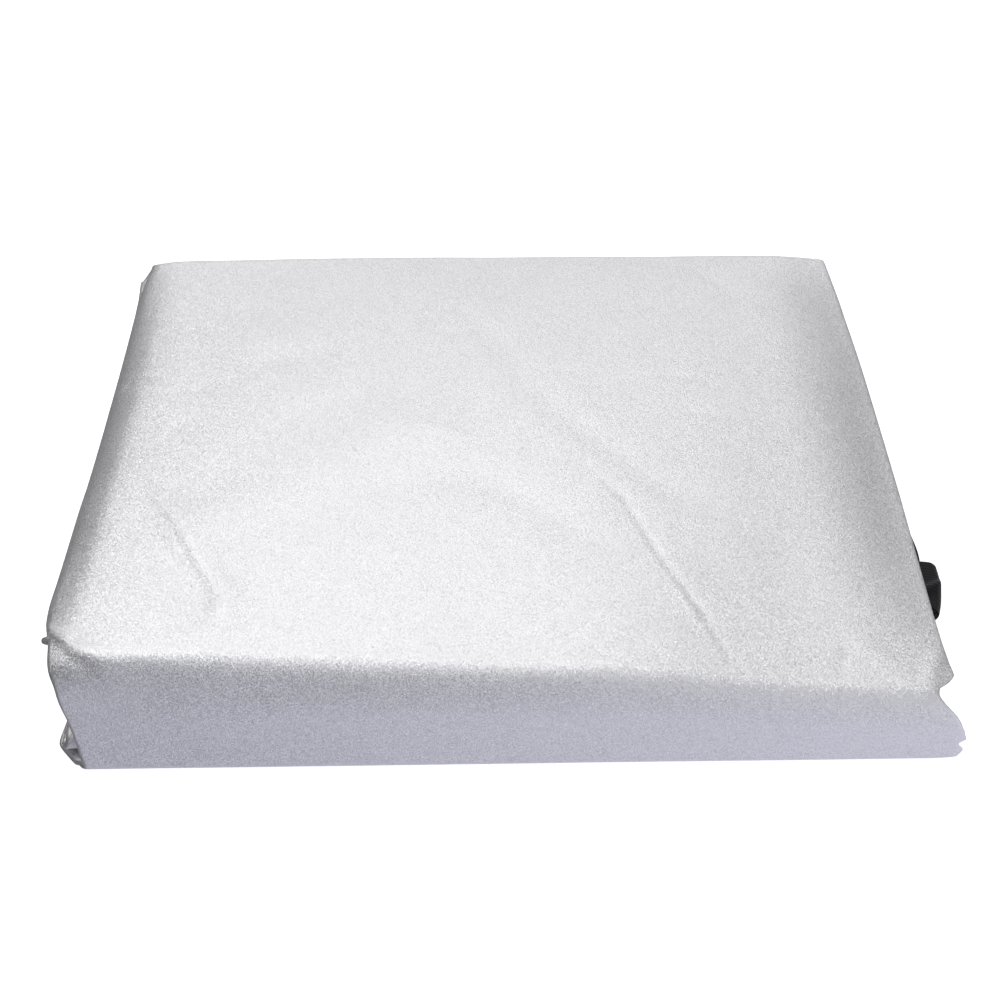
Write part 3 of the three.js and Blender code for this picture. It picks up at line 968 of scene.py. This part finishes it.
def silver_cloth(looks):
    """Silver coating on a fine plain weave, with small glints and cloudy wear."""
    material = bpy.data.materials.new("silver_coated_cloth")
    finish = Nodes(material)
    flat = finish.node("ShaderNodeAttribute", {"attribute_name": FLAT_PLACE}, {})[1]
    u, v, _ = finish.node("ShaderNodeSeparateXYZ", {}, {0: flat})
    warp, weft = ((place * (math.pi / looks.weave)).math("SINE") for place in (u, v))
    threads = finish.bump(warp * weft * THREAD_HEIGHT)
    scatter = finish.node("ShaderNodeTexVoronoi", {"feature": "F1"},
                          {"Vector": flat, "Scale": 1 / looks.flake})[1]
    tilt = looks.flake_tilt
    stray = finish.vector("MULTIPLY_ADD", scatter, [tilt] * 3, [-tilt / 2] * 3)
    _, _, chance = finish.node("ShaderNodeSeparateXYZ", {}, {0: scatter})
    sway = (finish.noise(flat, CLOUD_SIZE, CLOUD_DETAIL) - 0.5) * CLOUD_SWAY
    shade = 1 + sway + (chance - 0.5) * looks.specks
    speckled = finish.node("ShaderNodeVectorMath", {"operation": "SCALE"},
                           {0: looks.silver, "Scale": shade})[0]
    finish.surface({
        "Base Color": speckled,
        "Roughness": looks.silver_gloss + sway,
        "Metallic": looks.silver_metal,
        "Normal": finish.vector("NORMALIZE", finish.vector("ADD", threads, stray)),
    })
    return material


def black_webbing(looks):
    """Black webbing, ribbed along its length."""
    material = bpy.data.materials.new("black_woven_webbing")
    finish = Nodes(material)
    flat = finish.node("ShaderNodeAttribute", {"attribute_name": FLAT_PLACE}, {})[1]
    u, v, _ = finish.node("ShaderNodeSeparateXYZ", {}, {0: flat})
    ribs = (u * (2 * math.pi / looks.ribs)).math("SINE")
    picks = (v * (2 * math.pi / looks.picks)).math("SINE")
    fuzz = finish.noise(flat, FUZZ_SIZE)
    height = ribs * RIB_HEIGHT + picks * ribs * PICK_HEIGHT + (fuzz - 0.5) * FUZZ_HEIGHT
    dark, pale = ([channel * shade for channel in looks.black] for shade in FUZZ_SHADES)
    finish.surface({
        "Base Color": finish.tint(fuzz, dark, pale),
        "Roughness": looks.black_gloss,
        "Specular IOR Level": 0.2,
        "Sheen Weight": 0.3,
        "Sheen Roughness": 0.4,
        "Normal": finish.bump(height),
    })
    return material


def plain_floor(looks):
    """Matt pale floor, lit from within, with the faintest unevenness."""
    material = bpy.data.materials.new("pale_floor")
    finish = Nodes(material)
    place = finish.node("ShaderNodeTexCoord", {}, {})[3]
    clouds = finish.noise(place, FLOOR_CLOUD_SIZE)
    dim = [channel * FLOOR_CLOUD_SHADE for channel in looks.floor]
    finish.surface({
        "Base Color": finish.tint(clouds, dim, looks.floor),
        "Roughness": 0.9,
        "Emission Color": (1, 1, 1, 1),
        "Emission Strength": looks.floor_glow,
    })
    return material


def pale_backdrop(looks):
    """An evenly bright pale wall."""
    material = bpy.data.materials.new("pale_backdrop")
    finish = Nodes(material)
    shader = finish.node("ShaderNodeEmission", {}, {"Color": (*looks.floor, 1), "Strength": 1.0})[0]
    finish.node("ShaderNodeOutputMaterial", {}, {"Surface": shader})
    return material


def studio_room(world, studio):
    """Light of the room by direction: plain from behind, cool from below, and dim at the left."""
    room = Nodes(world)
    direction = room.node("ShaderNodeTexCoord", {}, {})[0]
    side, depth, height = room.node("ShaderNodeSeparateXYZ", {}, {0: direction})

    def share(value, start, end):
        return room.node("ShaderNodeMapRange", {"interpolation_type": "SMOOTHSTEP"},
                         {"Value": value, "From Min": start, "From Max": end})[0]

    def across(ends, first, second):
        return room.tint(share(side, *ends), first, second)

    back = room.tint(share(height, *studio.high_zone), studio.back_light, studio.high_light)
    back = across(studio.left_range, back, studio.left_light)
    back = across(studio.right_range, back, studio.right_light)
    front = across(studio.front_range, studio.front_left, studio.front_right)
    low = across(studio.low_range, studio.low_left, studio.low_right)
    low = across(studio.low_left_range, low, studio.left_light)
    upper = room.tint(share(depth, *studio.front_zone), back, front)
    light = room.tint(share(height, *studio.low_zone), upper, low)
    shader = room.node("ShaderNodeBackground", {}, {"Color": light})[0]
    room.node("ShaderNodeOutputWorld", {}, {"Surface": shader})


def part_frame_shift(strip):
    """From the shape's own millimetres to the frame of the CAD model, by the CAD cover's box."""
    lowest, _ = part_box("folded_cover")
    left = LAYER_EDGES["left_back"].min()
    front_left = smooth(FRONT_EDGES, "up", "left", 0.5)
    front = strip.front + strip.skew * front_left
    return np.array([lowest[0] / MM - left, lowest[1] / MM - front, 0])


class COVER_OT_fold_cloth(bpy.types.Operator):
    """Make the thin silver cloth, folded into its bundle"""

    bl_idname = "cover.fold_cloth"
    bl_label = "Fold the cloth"

    def execute(self, context):
        strip = FoldedStrip(context.scene.cover_sizes)
        lines, columns = strip.lines(), cloth_columns()
        points = cloth_points(strip, lines, columns)
        kept, faces = cloth_faces(lines, columns)
        line = next(n for n, line in enumerate(lines)
                    if line.unfolded is not None and line.unfolded < 0)
        column = len(columns.share) // 2
        u, v = lengths_along(points.swapaxes(0, 1)).T, lengths_along(points)
        flat = np.stack([u - u[:, [column]], v - v[[line]]], axis=-1)
        shown = points + part_frame_shift(strip)
        shown, flat = (np.concatenate([rows[n][places] for n, places in enumerate(kept)])
                       for rows in (shown, flat))
        cloth = new_mesh("silver_cloth_folded", shown, faces, flat)
        cloth.data.materials.append(silver_cloth(context.scene.cover_finishes))
        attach(cloth, "root")
        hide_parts("folded_cover")
        u[line, -1] * MM
        v[-1, column] * MM
        return {"FINISHED"}


class COVER_OT_lay_strap(bpy.types.Operator):
    """Make the black webbing strap between the layers"""

    bl_idname = "cover.lay_strap"
    bl_label = "Lay the strap"

    def execute(self, context):
        sizes = context.scene.strap_sizes
        strip = FoldedStrip(context.scene.cover_sizes)
        ends = STRAP_LINES
        numbers = np.arange(len(ends["x1"]), dtype=float)
        rows = {"n": numbers, **ends}
        fine = np.linspace(0, numbers[-1], STRAP_PLACES_ALONG)
        across = np.linspace(0, 1, STRAP_PLACES_ACROSS)[None, :]
        lines = {name: smooth(rows, "n", name, fine)[:, None] for name in ends}
        x, y, up = (mix(lines[way + "1"], lines[way + "2"], across) for way in ("x", "y", "up"))
        x += 4 * lines["bow"] * across * (1 - across)
        up += strap_crease(fine[:, None], across)
        bed = strip.height(sizes.layer, x, y) + strip.thickness(x, y) / 2 + sizes.clearance / MM
        points = np.stack([x, y, bed + up], axis=-1)
        count = points.shape[1]
        faces = [(a, a + 1, a + count + 1, a + count) for line in range(len(fine) - 1)
                 for a in range(line * count, line * count + count - 1)]
        v = lengths_along(points[:, count // 2])
        width = np.linalg.norm(points[0, -1] - points[0, 0])
        flat = np.stack(np.broadcast_arrays(across * width, v[:, None]), axis=-1).reshape(-1, 2)
        shown = points.reshape(-1, 3) + part_frame_shift(strip)
        strap = new_mesh("black_webbing_strap", shown, faces, flat)
        strap.data.materials.append(black_webbing(context.scene.cover_finishes))
        body = strap.modifiers.new("webbing", "SOLIDIFY")
        body.thickness = sizes.thickness
        body.offset = 0
        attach(strap, "root")
        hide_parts("webbing_strap")
        return {"FINISHED"}


def round_piece(name, profile, material):
    """A surface turned round the vertical axis, from a profile of radius and height in metres."""
    turns = ROUND_SIDES
    angles = np.arange(turns) * 2 * math.pi / turns
    points = [(radius * math.cos(a), radius * math.sin(a), height)
              for radius, height in profile for a in angles]
    faces = [(n, (n + 1) % turns, turns + (n + 1) % turns, turns + n) for n in range(turns)]
    mesh = bpy.data.meshes.new(name)
    mesh.from_pydata(points, [], faces)
    mesh.materials.append(material)
    return add_object(name, mesh)


class COVER_OT_set_stage(bpy.types.Operator):
    """Set up the pale floor, the soft lights and the camera"""

    bl_idname = "cover.set_stage"
    bl_label = "Set the stage"

    def execute(self, context):
        scene = context.scene
        studio = scene.studio_sizes
        camera = add_object("camera", bpy.data.cameras.new("camera"))
        camera.location = studio.camera
        camera.rotation_euler = (math.pi / 2 - studio.camera_down, 0, 0)
        camera.data.lens = studio.lens
        camera.data.sensor_width = SENSOR_WIDTH
        scene.camera = camera

        floor = round_piece("floor", ((0, 0), (WALL_RADIUS, 0)), plain_floor(scene.cover_finishes))
        floor.visible_glossy = False
        wall = round_piece("backdrop", ((WALL_RADIUS, 0), (WALL_RADIUS, WALL_RADIUS)),
                           pale_backdrop(scene.cover_finishes))
        for way in ("diffuse", "glossy", "transmission", "volume_scatter", "shadow"):
            setattr(wall, "visible_" + way, False)

        for name, place, aim, width, height, watts in SOFT_LIGHTS:
            light = bpy.data.lights.new(name, "AREA")
            light.shape = "RECTANGLE"
            light.size, light.size_y = width, height
            light.energy = watts
            lamp = add_object(name, light)
            lamp.location = place
            lamp.rotation_mode = "QUATERNION"
            lamp.rotation_quaternion = (Vector(aim) - Vector(place)).to_track_quat("-Z", "Y")

        scene.world = bpy.data.worlds.new("studio")
        studio_room(scene.world, studio)
        scene.view_settings.view_transform = "Standard"
        return {"FINISHED"}


class COVER_PT_panel(bpy.types.Panel):
    bl_idname = "COVER_PT_panel"
    bl_label = "Folded cover"
    bl_space_type = "VIEW_3D"
    bl_region_type = "UI"
    bl_category = "Cover"

    def draw(self, context):
        layout = self.layout
        for operator in OPERATORS:
            layout.operator(operator.bl_idname)
        for name, group in GROUPS.items():
            settings = getattr(context.scene, name)
            box = layout.box()
            for prop in group.__annotations__:
                box.prop(settings, prop)


GROUPS = {
    "cover_sizes": CoverSizes,
    "strap_sizes": StrapSizes,
    "cover_finishes": Finishes,
    "studio_sizes": StudioSizes,
}
OPERATORS = (COVER_OT_fold_cloth, COVER_OT_lay_strap, COVER_OT_set_stage)


def register():
    for name, group in GROUPS.items():
        bpy.utils.register_class(group)
        setattr(bpy.types.Scene, name, bpy.props.PointerProperty(type=group))
    for operator in OPERATORS:
        bpy.utils.register_class(operator)
    bpy.utils.register_class(COVER_PT_panel)


def unregister():
    bpy.utils.unregister_class(COVER_PT_panel)
    for operator in reversed(OPERATORS):
        bpy.utils.unregister_class(operator)
    for name, group in reversed(GROUPS.items()):
        delattr(bpy.types.Scene, name)
        bpy.utils.unregister_class(group)


def main():
    register()
    bpy.ops.cover.set_stage()
    bpy.ops.cover.fold_cloth()
    bpy.ops.cover.lay_strap()


if __name__ == "__main__":
    main()
